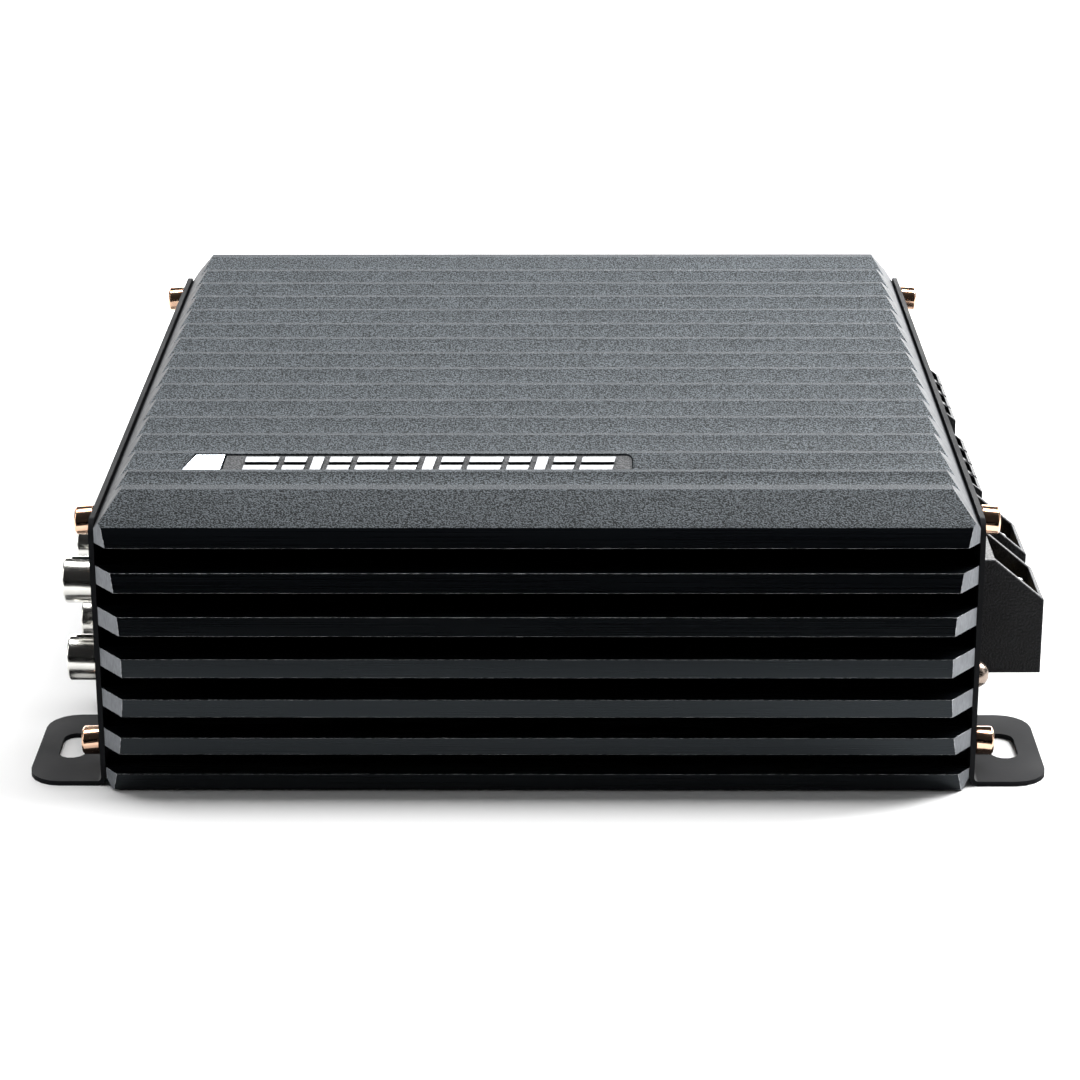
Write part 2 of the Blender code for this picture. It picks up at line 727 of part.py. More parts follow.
def make_power_block(name, y, finish):
    """Heavy-gauge terminal with an open pocket over its clamp and a wire hole in front."""
    low, high = POWER_Z
    profile = sloped_block(low, high, POWER_SHOULDER, POWER_OUT, POWER_DROP)
    half = POWER_DEPTH / 2
    block = prism(name, profile, "Y", y - half, y + half, finish)
    fuse(block, make_neck(POWER_NECK, y, POWER_WINDOW_HALF, POWER_WINDOW_Z))
    inner = half - POWER_WALL
    pocket = box("pocket", POWER_POCKET_X, (y - inner, y + inner), (low + POWER_WALL, high + 2))
    entry = prism("entry", circle((y, POWER_WIRE_Z), POWER_ENTRY_R, 16), "X", 90, POWER_OUT + 1)
    return cut(block, pocket, entry)


def make_power_clamp(name, y, finish):
    """Brass clamp in the pocket, bored for the wire and for its screw."""
    x_range = (POWER_POCKET_X[0] + GAP, POWER_POCKET_X[1] - GAP)
    inner = POWER_DEPTH / 2 - POWER_WALL - GAP
    z_range = (POWER_Z[0] + POWER_WALL + GAP, POWER_CLAMP_TOP)
    clamp = box(name, x_range, (y - inner, y + inner), z_range, finish)
    wire = prism("wire", circle((y, POWER_WIRE_Z), POWER_WIRE_R, 16), "X", 83, 97)
    thread = prism("thread", circle((POWER_SCREW_X, y), POWER_SCREW_R + GAP, 16), "Z", 22, 30)
    return cut(clamp, wire, thread)


def make_clamp_screw(name, x, y, radius, z_range, finish, sides=16):
    """Upright slotted screw of a terminal clamp."""
    low, high = z_range
    profile = [(0, low), (radius - 0.3, low), (radius, low + 0.3)]
    profile += [(radius, high - 0.2), (radius - 0.2, high), (0, high)]
    screw = turned(name, profile, "Z", (x, y, 0), finish, sides)
    half = radius * 0.18
    reach = radius + 1
    slot = box("slot", (x - reach, x + reach), (y - half, y + half), (high - radius * 0.4, high + 1))
    cut(screw, slot)
    set_origin(screw, (x, y, high))
    return screw


def speaker_ways(y):
    """Centres of the ways of a speaker terminal in Y."""
    first = y - (SPEAKER_WAYS - 1) * SPEAKER_PITCH / 2
    return [first + n * SPEAKER_PITCH for n in range(SPEAKER_WAYS)]


def make_speaker_block(name, y, finish):
    """Four-way terminal strip with a pocket and a wire hole for each way."""
    low, high = SPEAKER_Z
    profile = sloped_block(low, high, SPEAKER_SHOULDER, SPEAKER_OUT, SPEAKER_DROP)
    block = prism(name, profile, "Y", y - SPEAKER_HALF, y + SPEAKER_HALF, finish)
    fuse(block, make_neck(SPEAKER_NECK, y, SPEAKER_HALF - 1.0, SPEAKER_WINDOW_Z))
    entry_x = (SPEAKER_POCKET_X[0], SPEAKER_OUT + 1)
    nick_x = (SPEAKER_OUT - NICK_DEEP, SPEAKER_OUT + 1)
    cutters = []
    for way in speaker_ways(y):
        pocket_y = (way - SPEAKER_POCKET_HALF, way + SPEAKER_POCKET_HALF)
        cutters.append(box("pocket", SPEAKER_POCKET_X, pocket_y, (SPEAKER_POCKET_FLOOR, high + 1)))
        thread = circle((SPEAKER_SCREW_X, way), SPEAKER_SCREW_R + GAP, 12)
        cutters.append(prism("thread", thread, "Z", 23, 27))
        entry_y = (way - SPEAKER_ENTRY_HALF, way + SPEAKER_ENTRY_HALF)
        cutters.append(box("entry", entry_x, entry_y, SPEAKER_ENTRY_Z))
    for way in speaker_ways(y)[1:]:
        between = way - SPEAKER_PITCH / 2
        nick_y = (between - NICK_HALF, between + NICK_HALF)
        cutters.append(box("nick", nick_x, nick_y, (NICK_FLOOR, high + 1)))
    return cut(block, *cutters)


# ---- name strip ----


def slope_prism(name, outline, low, high, finish=None):
    """Extrude an outline square to the front slope of the second rib, up from the slope's foot."""
    crest = RIB_FIRST_Y + RIB_PITCH - RIB_CREST
    run = RIB_PITCH - RIB_CREST - RIB_BACK_RUN
    slope = Vector((0.0, run, RIB_DEPTH)).normalized()
    normal = Vector((0.0, -RIB_DEPTH, run)).normalized()
    start = Vector((0.0, crest, TOP_Z)) - slope * (STRIP_HEIGHT + STRIP_EDGE)
    shape = bmesh.new()
    rings = []
    for lift in (low, high):
        base = start + normal * lift
        rings.append([shape.verts.new((base + Vector((u, 0, 0)) + slope * v) * MM) for u, v in outline])
    shape.faces.new(rings[0])
    shape.faces.new(list(reversed(rings[1])))
    for i in range(len(outline)):
        j = (i + 1) % len(outline)
        shape.faces.new((rings[0][i], rings[0][j], rings[1][j], rings[1][i]))
    return add(name, shape, finish)


def strip_outline(grow):
    """Outline of the name strip: a slanted left end and round right corners."""
    radius = STRIP_CORNER + grow
    low, high = -grow, STRIP_HEIGHT + grow
    right = STRIP_RIGHT + grow
    points = [(TILE_RIGHT + TILE_GAP - TILE_LEAN * 0.3 - grow, low)]
    points += arc((right - radius, low + radius), radius, 270, 360, 4)
    points += arc((right - radius, high - radius), radius, 0, 90, 4)
    points.append((TILE_RIGHT + TILE_GAP - grow, high))
    return points


def tile_outline(grow):
    """Outline of the slanted tile beside the name strip."""
    low, high = -grow, STRIP_HEIGHT + grow
    right_foot = TILE_RIGHT - TILE_LEAN * 0.3
    return [
        (TILE_LEFT - TILE_LEAN - grow, low),
        (right_foot + grow, low),
        (TILE_RIGHT + grow, high),
        (TILE_LEFT - grow, high),
    ]


def cut_strip_recess(heatsink):
    """Mill the recess that takes the strip and its tile."""
    strip = slope_prism("recess", strip_outline(STRIP_CLEAR), -STRIP_DEPTH, 2.0)
    tile = slope_prism("recess", tile_outline(STRIP_CLEAR + 0.1), -STRIP_DEPTH, 2.0)
    return cut(heatsink, strip, tile)


def build():
    for existing in list(bpy.data.objects):
        bpy.data.objects.remove(existing)

    coat = material("black_powder_coat", (0.028, 0.031, 0.036), 0.5)
    sheet = material("black_sheet_paint", (0.02, 0.021, 0.023), 0.45)
    plastic = material("black_plastic", (0.015, 0.015, 0.017), 0.4)
    copper = material("copper_plate", (0.78, 0.45, 0.3), 0.22, 1.0)
    nickel = material("nickel_plate", (0.72, 0.71, 0.68), 0.22, 1.0)
    brass = material("brass", (0.72, 0.55, 0.25), 0.3, 1.0)
    silver = material("silver_trim", (0.8, 0.8, 0.82), 0.3, 0.9)
    board = material("board_green", (0.02, 0.12, 0.06), 0.5)
    zinc = material("zinc_steel", (0.55, 0.56, 0.57), 0.35, 1.0)
    sleeve = material("capacitor_sleeve", (0.02, 0.02, 0.05), 0.4)
    winding = material("copper_winding", (0.6, 0.25, 0.08), 0.35, 0.8)
    lens = material("indicator_lens", (0.05, 0.2, 0.7), 0.2)

    cut_strip_recess(make_heatsink(coat))
    open_left_plate(make_end_plate("left_end_plate", -1, sheet))
    open_right_plate(make_end_plate("right_end_plate", 1, sheet))
    make_cover(sheet)
    make_board(board)
    seat = GAP - STRIP_DEPTH
    slope_prism("name_strip", strip_outline(0), seat, seat + STRIP_THICK, plastic)
    slope_prism("name_strip_tile", tile_outline(0), seat, 0.0, silver)

    for end, end_name in ((-1, "left"), (1, "right")):
        for y, z in screw_places():
            depth = "front" if y < 0 else "rear"
            level = "upper" if z == SCREW_TOP[1] else "lower"
            collar = WASHER_THICK if level == "lower" else 0.0
            make_cap_screw(f"end_screw_{end_name}_{depth}_{level}", end, y, z, collar, copper)
    make_panel_screw(nickel)
    for x, x_name in ((-COVER_SCREW_X, "left"), (COVER_SCREW_X, "right")):
        for y, y_name in ((-COVER_SCREW_Y, "front"), (COVER_SCREW_Y, "rear")):
            make_cover_screw(f"cover_screw_{x_name}_{y_name}", x, y, zinc)

    make_jack_housing(plastic)
    for y, y_name in zip(JACK_Y, ("front", "rear")):
        for z, z_name in zip(JACK_Z, ("lower", "upper")):
            make_jack_shell(f"rca_shell_{y_name}_{z_name}", y, z, nickel)
    for name, y in CONTROL_Y.items():
        make_control(f"{name}_control", y, plastic)
        make_adjuster(f"{name}_adjuster", y, plastic)
    make_switch(plastic, silver)
    make_light(lens)

    for name, y in POWER_Y.items():
        make_power_block(f"{name}_terminal", y, plastic)
        make_power_clamp(f"{name}_clamp", y, brass)
        make_clamp_screw(f"{name}_clamp_screw", POWER_SCREW_X, y, POWER_SCREW_R, POWER_SCREW_Z, zinc)
    for name, y in SPEAKER_Y.items():
        make_speaker_block(f"{name}_speaker_terminal", y, plastic)
        for number, way in enumerate(speaker_ways(y), 1):
            place = (SPEAKER_SCREW_X, way, SPEAKER_SCREW_R)
            make_clamp_screw(f"{name}_speaker_screw_{number}", *place, SPEAKER_SCREW_Z, zinc, 12)

    make_ring("power_transformer", 18.0, -8.0, 14.5, 6.0, winding)
    make_ring("filter_choke", -18.0, 34.0, 8.5, 4.0, winding, (18, 8))
    make_capacitor("reservoir_capacitor_front", 48.0, -42.0, 8.0, 28.0, sleeve)
    make_capacitor("reservoir_capacitor_rear", 48.0, -22.0, 8.0, 28.0, sleeve)
    for side, side_name in ((-1, "front"), (1, "rear")):
        for x, x_name in ((0.0, "left"), (24.0, "right")):
            make_transistor(f"{side_name}_transistor_{x_name}", x, side, plastic)
        make_clamp_bar(f"{side_name}_clamp_bar", side, (-6.0, 30.0), zinc)


build()
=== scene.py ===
"""Looks of the compact car amplifier: materials, small details, floor, light and camera."""

import json
from math import radians, tau

import bmesh
import bpy
from mathutils import Matrix, Vector


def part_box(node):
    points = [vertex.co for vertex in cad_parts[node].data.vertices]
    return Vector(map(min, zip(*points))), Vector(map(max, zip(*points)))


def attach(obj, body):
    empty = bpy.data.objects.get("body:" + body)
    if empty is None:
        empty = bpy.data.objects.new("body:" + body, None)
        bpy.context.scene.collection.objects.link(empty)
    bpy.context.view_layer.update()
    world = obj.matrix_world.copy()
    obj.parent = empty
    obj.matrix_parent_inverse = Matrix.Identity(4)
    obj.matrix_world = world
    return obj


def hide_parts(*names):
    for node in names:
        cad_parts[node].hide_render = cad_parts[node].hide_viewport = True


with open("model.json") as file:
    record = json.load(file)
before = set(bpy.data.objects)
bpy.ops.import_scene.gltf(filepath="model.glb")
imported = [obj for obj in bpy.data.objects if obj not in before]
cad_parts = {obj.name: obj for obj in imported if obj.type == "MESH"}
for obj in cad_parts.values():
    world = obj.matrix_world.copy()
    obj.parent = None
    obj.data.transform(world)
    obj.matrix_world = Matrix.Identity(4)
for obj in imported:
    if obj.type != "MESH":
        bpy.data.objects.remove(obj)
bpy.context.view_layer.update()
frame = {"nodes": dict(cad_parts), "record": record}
nodes = frame["nodes"]
MM = 0.001
BODY = "amplifier"

# The extrusion
HEATSINK_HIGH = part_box("heatsink")[1]
FIN_TOP = HEATSINK_HIGH.z - 5.8 * MM  # the ribs lie above it and the fins below
FIN_DEPTH = 7 * MM
GLINT_MARGIN = 1 * MM  # how far from the ends and from FIN_TOP the painted glint on the fin edges stops
CREST_DEPTH = 0.05 * MM

# The slanted bars of the name strip
BAR_WIDTHS = [3, 2, 1, 2] * 3 + [3]
BAR_MARGINS = (4.4 * MM, 3.4 * MM)  # from the strip's ends to the first and the last bar
BAR_GAP = 1.1 * MM
BAR_HEIGHT = 3.3 * MM
BAR_RISE = 0.5 * MM  # how far the bars stand above the middle of the strip
BAR_SLIT = 0.33 * MM  # half the gap between the two rows of a wide bar
BAR_LEAN = 0.25
BAR_FOOT = 0.02 * MM
BAR_THICK = 0.6 * MM

# Contacts and printed marks
CONTACT_R = 1.5 * MM
CONTACT_HALF = 0.3 * MM
ABOVE_FEET = 30 * MM  # points of an end plate above it belong to its upright sheet
INK_HALF = 0.03 * MM
TICK_TURN = 140  # degrees that an adjuster turns each way
TICK_STEPS = 3
TICK_R = 4.6 * MM
TICK_HALVES = (0.7 * MM, 1.0 * MM)  # half lengths of a short and a long tick
TICK_WIDE = 0.14 * MM
SIGN_OUT = 2.3 * MM
SIGN_LONG = 1.3 * MM
SIGN_WIDE = 0.25 * MM

# Camera: just right of the middle, in front and 20 degrees up
CAMERA_PLACE = (4.89 * MM, -627.7 * MM, 250.7 * MM)
CAMERA_LENS = 105.1
CAMERA_DOWN = 20.317
CAMERA_AZIMUTH = 0.449
CAMERA_ROLL = -0.15

# Area lights: name, place, target, size and power
LIGHTS = [
    ("overhead_softbox", (0.2, 0.11, 1.4), (0.2, 0.11, 0), (1.9, 0.44), 29),
    ("back_wall_left", (-1.0, 2.2, 0.7), (0, 0, 0.1), (2.0, 1.2), 38),
    ("back_wall_right", (1.2, 2.2, 0.7), (0, 0, 0.1), (2.4, 1.2), 95),
    ("side_softbox", (0.5, 0.2, 0.45), (0, 0, 0.05), (0.3, 0.3), 6),
    ("left_strip", (-1.2, -0.25, 0.55), (0, 0, 0.05), (0.4, 0.9), 4),
    ("right_strip", (1.2, -0.25, 0.55), (0, 0, 0.05), (0.4, 0.9), 2),
]


# ---- node helpers ----


class Shader:
    """A new material with its Principled shader and short ways to add and link nodes."""

    def __init__(self, name, colour, roughness, metallic=0.0, **settings):
        self.material = bpy.data.materials.new(name)
        self.material.use_nodes = True
        self.tree = self.material.node_tree
        self.bsdf = self.tree.nodes["Principled BSDF"]
        self.bsdf.inputs["Base Color"].default_value = (*colour, 1.0)
        self.bsdf.inputs["Roughness"].default_value = roughness
        self.bsdf.inputs["Metallic"].default_value = metallic
        for key, value in settings.items():
            self.bsdf.inputs[key.replace("_", " ")].default_value = value

    def node(self, kind, inputs=None, **settings):
        made = self.tree.nodes.new("ShaderNode" + kind)
        for key, value in settings.items():
            setattr(made, key, value)
        for key, value in (inputs or {}).items():
            if isinstance(value, bpy.types.NodeSocket):
                self.tree.links.new(value, made.inputs[key])
            else:
                made.inputs[key].default_value = value
        return made

    def link(self, output, socket):
        self.tree.links.new(output, self.bsdf.inputs[socket])

    def place(self, scale=(1, 1, 1)):
        """Coordinates in millimetres on the object, stretched by scale."""
        coordinates = self.node("TexCoord").outputs["Object"]
        grow = self.node("Mapping", {"Vector": coordinates, "Scale": [s / MM for s in scale]})
        return grow.outputs["Vector"]

    def noise(self, scale, detail=3.0, stretch=(1, 1, 1), roughness=0.5):
        """Noise of a feature size of about one over scale, in millimetres."""
        inputs = {"Vector": self.place(stretch), "Scale": scale}
        inputs.update({"Detail": detail, "Roughness": roughness})
        return self.node("TexNoise", inputs).outputs["Fac"]

    def ramp(self, factor, stops):
        """Colour ramp with (position, grey or colour) stops."""
        made = self.node("ValToRGB", {"Fac": factor})
        elements = made.color_ramp.elements
        for element, (position, value) in zip(elements, stops):
            element.position = position
            colour = (value,) * 3 if isinstance(value, float) else value
            element.color = (*colour, 1.0)
        return made.outputs["Color"]

    def vary(self, socket, factor, low, high):
        """Drive a socket of the shader from low to high over the middle of a noise."""
        self.link(self.ramp(factor, [(0.3, low), (0.7, high)]), socket)

    def mix(self, factor, one, two, blend="MIX"):
        """Mix of two colours. The node's colour sockets are reached by number."""
        inputs = {0: factor, 6: one, 7: two}
        return self.node("Mix", inputs, data_type="RGBA", blend_type=blend).outputs[2]

    def math(self, operation, one, two=0.0):
        return self.node("Math", {0: one, 1: two}, operation=operation).outputs["Value"]

    def bump(self, height, strength, distance):
        """Bump of a distance in millimetres."""
        inputs = {"Height": height, "Strength": strength, "Distance": distance * MM}
        self.link(self.node("Bump", inputs).outputs["Normal"], "Normal")


def shade(red, green, blue):
    """A near-grey colour, with green and blue as multiples of red."""
    return (red, red * green, red * blue)


# ---- materials ----


def crinkle_coat(name, level, contrast, gloss):
    """Black-grey crinkle powder coat: a fine grain, with painted shade in its pits and a painted
    highlight on its tips.
    """
    gloss = {"Specular_IOR_Level": gloss, "Specular_Tint": (0.91, 0.97, 1.0, 1.0)}
    made = Shader(name, shade(level, 1.07, 1.16), 0.55, **gloss)
    grain = made.noise(3.6, 2.0, (0.85, 1.25, 1.25), 0.6)
    # The grain's colour follows the noise of its bumps: dark pits are painted shade, light tips a
    # painted highlight.
    pit_painted_shade = shade(level * (1 - contrast), 1.14, 1.28)
    tip_painted_highlight = shade(level * (1 + contrast), 1.12, 1.24)
    tone = made.ramp(grain, [(0.45, pit_painted_shade), (0.56, tip_painted_highlight)])
    drift = made.ramp(made.noise(0.1, 2.0), [(0.3, 0.88), (0.7, 1.0)])
    made.link(made.mix(1.0, tone, drift, "MULTIPLY"), "Base Color")
    made.vary("Roughness", grain, 0.7, 0.5)
    made.bump(grain, 1.0, 0.3)
    return made.material


def fin_black():
    """Satin black of the fins, with faint drawn lines along the extrusion."""
    gloss = {"Specular_IOR_Level": 0.26, "Specular_Tint": (0.8, 0.92, 1.0, 1.0)}
    made = Shader("fin_black", (0.0015, 0.0018, 0.0024), 0.3, **gloss)
    lines = made.noise(1.0, 3.0, (0.02, 3.0, 3.0), 0.6)
    cloud = made.noise(0.12, 2.0, (0.3, 1, 1))
    made.vary("Base Color", lines, (0.001, 0.0013, 0.002), (0.003, 0.0036, 0.0046))
    rough = made.math("ADD", made.math("MULTIPLY", lines, 0.1), made.math("MULTIPLY", cloud, 0.06))
    made.link(made.math("ADD", rough, 0.2), "Roughness")
    made.bump(lines, 0.25, 0.02)
    return made.material


def milled(name, level, metallic, gloss):
    """Milled face: grey metal under a thin dark finish, with fine cutter marks."""
    made = Shader(name, (level,) * 3, 0.5, metallic, Specular_IOR_Level=gloss)
    marks = made.noise(1.2, 3.0, (3.0, 0.6, 0.6), 0.6)
    low, high = shade(level * 0.8, 1.07, 1.18), shade(level * 1.2, 1.06, 1.15)
    made.vary("Base Color", marks, low, high)
    made.vary("Roughness", made.noise(0.35, 2.0), 0.44, 0.6)
    made.bump(marks, 0.2, 0.03)
    return made.material


def edge_painted_glint():
    """Sharp edges of the extrusion, with a painted glint broken into small bright spots."""
    made = Shader("edge_painted_glint", (0.16, 0.17, 0.18), 0.4, 0.4)
    glint_spots = made.noise(1.6, 3.0, roughness=0.7)
    stops = [(0.42, (0.06, 0.063, 0.068)), (0.56, (0.85, 0.87, 0.9))]
    made.link(made.ramp(glint_spots, stops), "Base Color")
    made.vary("Roughness", glint_spots, 0.5, 0.32)
    return made.material


def sheet_paint():
    """Satin black paint of the end plates and the cover, with a faint orange peel."""
    made = Shader("sheet_paint", (0.01, 0.0105, 0.0115), 0.5, Specular_IOR_Level=0.03)
    cloud = made.noise(0.06, 3.0)
    made.vary("Base Color", cloud, (0.008, 0.0085, 0.0095), (0.013, 0.0135, 0.015))
    made.vary("Roughness", cloud, 0.44, 0.58)
    made.bump(made.noise(1.1, 2.0), 0.25, 0.05)
    return made.material


def metal(name, colour, roughness, streak, tint=0.12):
    """Plated or turned metal with fine streaks and a slight change of colour."""
    made = Shader(name, colour, roughness, 1.0)
    fine = made.noise(2.2, 3.0, streak, 0.6)
    made.vary("Base Color", made.noise(0.3, 2.0), tuple(c * (1 - tint) for c in colour), colour)
    made.vary("Roughness", fine, roughness * 0.7, roughness * 1.35)
    made.bump(fine, 0.12, 0.02)
    return made.material


def plastic(name, colour, roughness=0.38, grain=2.4, gloss=0.5):
    """Moulded plastic with a fine spark-eroded grain and a soft change of shade."""
    made = Shader(name, colour, roughness, Specular_IOR_Level=gloss)
    fine = made.noise(grain, 2.0)
    light = tuple(c * 1.5 + 0.004 for c in colour)
    speck = made.ramp(fine, [(0.4, 0.55), (0.62, 1.3)])
    tone = made.ramp(made.noise(0.1, 2.0), [(0.3, colour), (0.7, light)])
    made.link(made.mix(1.0, tone, speck, "MULTIPLY"), "Base Color")
    made.vary("Roughness", fine, roughness * 0.85, roughness * 1.2)
    made.bump(fine, 0.9, 0.25)
    return made.material


def board_mask():
    """Green solder mask over a net of tracks, a little lighter where the copper lies."""
    made = Shader("board_mask", (0.012, 0.09, 0.045), 0.3)
    inputs = {"Vector": made.place((1, 1, 0)), "Scale": 0.22}
    net = {"feature": "DISTANCE_TO_EDGE", "distance": "MANHATTAN"}
    cells = made.node("TexVoronoi", inputs, **net)
    track = made.ramp(cells.outputs["Distance"], [(0.06, 1.0), (0.09, 0.0)])
    made.link(made.mix(track, (0.012, 0.085, 0.04, 1), (0.03, 0.17, 0.08, 1)), "Base Color")
    made.bump(track, 0.4, 0.04)
    return made.material


def winding():
    """Enamelled copper wire wound round a ring: each turn with a painted highlight on its ridge
    and painted shade between turns.
    """
    turns = 60
    made = Shader("winding_wire", (0.6, 0.24, 0.07), 0.26, 0.9, Coat_Weight=0.4)
    around = made.node("TexGradient", {"Vector": made.place()}, gradient_type="RADIAL")
    wave = made.math("SINE", made.math("MULTIPLY", around.outputs["Fac"], tau * turns))
    ridge_painted_light = made.math("ADD", made.math("MULTIPLY", wave, 0.5), 0.5)
    # Dark between turns and bright on each ridge: painted shade and painted highlight.
    made.link(made.ramp(ridge_painted_light, [(0.2, (0.2, 0.07, 0.02)), (0.8, (0.72, 0.3, 0.1))]), "Base Color")
    made.bump(wave, 0.6, 0.3)
    return made.material


def lens():
    """Blue tinted plastic of the indicator light."""
    clear = {"Coat_Weight": 0.6, "Transmission_Weight": 0.3}
    made = Shader("indicator_lens", (0.05, 0.16, 0.75), 0.12, **clear)
    made.vary("Base Color", made.noise(0.8, 2.0), (0.04, 0.12, 0.6), (0.07, 0.22, 0.85))
    return made.material


COAT = crinkle_coat("crinkle_coat", 0.068, 0.95, 0.6)
# A darker copy of the coat on the flat rib crests: painted shade.
CREST_PAINTED_SHADE = crinkle_coat("rib_crest_painted_shade", 0.055, 0.5, 0.1)
# A lighter copy of the coat on the rounded rib edges: painted highlight.
RIB_EDGE_HIGHLIGHT = crinkle_coat("rib_edge_painted_highlight", 0.12, 0.5, 0.25)
FIN = fin_black()
BEVEL = milled("milled_bevel", 0.155, 0.25, 0.5)
CHAMFER = milled("milled_chamfer", 0.055, 0.0, 0.15)
# Painted glint on the fin edges, in small bright spots.
EDGE_GLINT = edge_painted_glint()
SHEET = sheet_paint()
COPPER = metal("copper_plate", (0.93, 0.6, 0.42), 0.16, (0.4, 3, 3))
NICKEL = metal("nickel_plate", (0.8, 0.79, 0.75), 0.18, (0.4, 3, 3))
ZINC = metal("zinc_steel", (0.6, 0.61, 0.63), 0.3, (3, 3, 0.4))
BRASS = metal("brass", (0.8, 0.6, 0.26), 0.26, (0.5, 3, 3))
SATIN = metal("satin_silver", (0.36, 0.37, 0.385), 0.42, (4, 0.5, 4))
GOLD = metal("gold_plate", (0.85, 0.6, 0.24), 0.22, (0.4, 3, 3))
DARK_NICKEL = metal("dark_nickel", (0.3, 0.24, 0.2), 0.25, (0.4, 3, 3))
SILVER = metal("silver_trim", (0.6, 0.64, 0.69), 0.25, (3, 0.5, 0.5), 0.04)
INK = plastic("white_ink", (0.7, 0.7, 0.68), 0.5)
BLACK = plastic("black_plastic", (0.005, 0.0052, 0.006), gloss=0.13)
GREY = plastic("strip_grey", (0.086, 0.088, 0.092), 0.5, 3.0)
# Lighter plastic for the rounded edges of the terminals: a painted highlight.
TERMINAL_EDGE_HIGHLIGHT = plastic("terminal_edge_painted_highlight", (0.035, 0.036, 0.039), 0.5, gloss=0.15)
SLEEVE = plastic("capacitor_sleeve", (0.012, 0.012, 0.03), 0.25)
MASK = board_mask()
WIRE = winding()
LENS = lens()


# ---- mesh helpers ----


def make_object(name, shape, finishes, sharp=None):
    """Turn a bmesh into an object, smooth except at edges of more than sharp degrees."""
    mesh = bpy.data.meshes.new(name)
    shape.to_mesh(mesh)
    shape.free()
    for finish in finishes:
        mesh.materials.append(finish)
    if sharp:
        mesh.shade_smooth()
        mesh.set_sharp_from_angle(angle=radians(sharp))
    made = bpy.data.objects.new(name, mesh)
    bpy.context.collection.objects.link(made)
    return made


def add_piece(name, shape, *finishes):
    """Make a small piece from a bmesh, riding on the main body."""
    bmesh.ops.recalc_face_normals(shape, faces=shape.faces)
    piece = make_object(name, shape, finishes, 35)
    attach(piece, BODY)
    return piece


def add_slab(shape, centre, *halves):
    """Add a small box to a bmesh from its centre and three half edges."""
    corners = []
    for signs in ((a, b, c) for c in (-1, 1) for b in (-1, 1) for a in (-1, 1)):
        offset = sum((half * sign for half, sign in zip(halves, signs)), Vector())
        corners.append(shape.verts.new(centre + offset))
    rings = ((0, 1, 3, 2), (4, 5, 7, 6), (0, 1, 5, 4), (2, 3, 7, 6), (0, 2, 6, 4), (1, 3, 7, 5))
    for ring in rings:
        shape.faces.new([corners[i] for i in ring])


def add_disc(shape, centre, radius, half):
    """Add a short round bar along X to a bmesh."""
    turn = Matrix.Translation(centre) @ Matrix.Rotation(radians(90), 4, "Y")
    size = {"radius1": radius, "radius2": radius, "depth": 2 * half}
    bmesh.ops.create_cone(shape, cap_ends=True, segments=24, matrix=turn, **size)


def named(word):
    """Names of the CAD nodes with a word in them."""
    return [name for name in nodes if word in name]


def body_of(name):
    """The body that a CAD node belongs to."""
    for body, members in frame["record"]["behaviour"]["bodies"].items():
        if name in members:
            return body
    raise KeyError(name)


# ---- refined copies of the CAD nodes ----


def is_corner(edge, angle):
    """True for an outward edge sharper than an angle in degrees."""
    return len(edge.link_faces) == 2 and edge.calc_face_angle_signed(0.0) > radians(angle)


def refine(name, finishes, width, angle=28, segments=2, choose=None, rounding=None, flat=0.6):
    """Replace a CAD node by a copy with joined faces, rounded edges and its finishes.

    Edges of more than angle degrees are rounded by width, in millimetres. choose gives the
    number of a face's finish, and rounding that of a rounded edge's face. Faces that meet
    within flat degrees are joined. A thin ring keeps its triangles, with flat 0.
    """
    shape = bmesh.new()
    shape.from_mesh(nodes[name].data)
    bmesh.ops.remove_doubles(shape, verts=shape.verts, dist=0.002 * MM)
    if flat:
        join = {"angle_limit": radians(flat), "verts": shape.verts, "edges": shape.edges}
        bmesh.ops.dissolve_limit(shape, **join)
    shape.normal_update()
    for face in shape.faces:
        face.material_index = choose(face.calc_center_median(), face.normal) if choose else 0
    corners = [edge for edge in shape.edges if is_corner(edge, angle)]
    if width and corners:
        fresh = len(finishes)
        settings = {"offset": width * MM, "segments": segments, "profile": 0.5}
        settings.update(affect="EDGES", clamp_overlap=True, material=fresh if rounding else -1)
        bmesh.ops.bevel(shape, geom=corners, **settings)
        for face in shape.faces:
            if face.material_index == fresh:
                face.material_index = rounding(face.calc_center_median())
    piece = make_object(name + "_refined", shape, finishes, 40)
    even = piece.modifiers.new("even_normals", "WEIGHTED_NORMAL")
    even.keep_sharp = True
    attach(piece, body_of(name))
    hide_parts(name)


HEATSINK_FINISHES = [COAT, CREST_PAINTED_SHADE, FIN, BEVEL, EDGE_GLINT, CHAMFER, RIB_EDGE_HIGHLIGHT]


def heatsink_face(centre, normal):
    """Number of the finish of a face of the extrusion."""
    if 0.55 < abs(normal.x) < 0.95:
        finish = CHAMFER if normal.z > 0.3 else BEVEL
    # The flat crests take the darker copy of the coat, as painted shade.
    elif centre.z > HEATSINK_HIGH.z - CREST_DEPTH and normal.z > 0.95:
        finish = CREST_PAINTED_SHADE
    elif centre.z > FIN_TOP and abs(normal.x) < 0.5:
        finish = COAT
    else:
        finish = FIN
    return HEATSINK_FINISHES.index(finish)


def heatsink_rounding(centre):
    """Finish of a rounded edge: a painted glint on the fins, and elsewhere a lighter copy of the
    coat as a painted highlight.
    """
    far_out = abs(centre.y) > HEATSINK_HIGH.y - FIN_DEPTH
    between_ends = abs(centre.x) < HEATSINK_HIGH.x - GLINT_MARGIN
    glinting = far_out and between_ends and centre.z < FIN_TOP - GLINT_MARGIN
    return HEATSINK_FINISHES.index(EDGE_GLINT if glinting else RIB_EDGE_HIGHLIGHT)


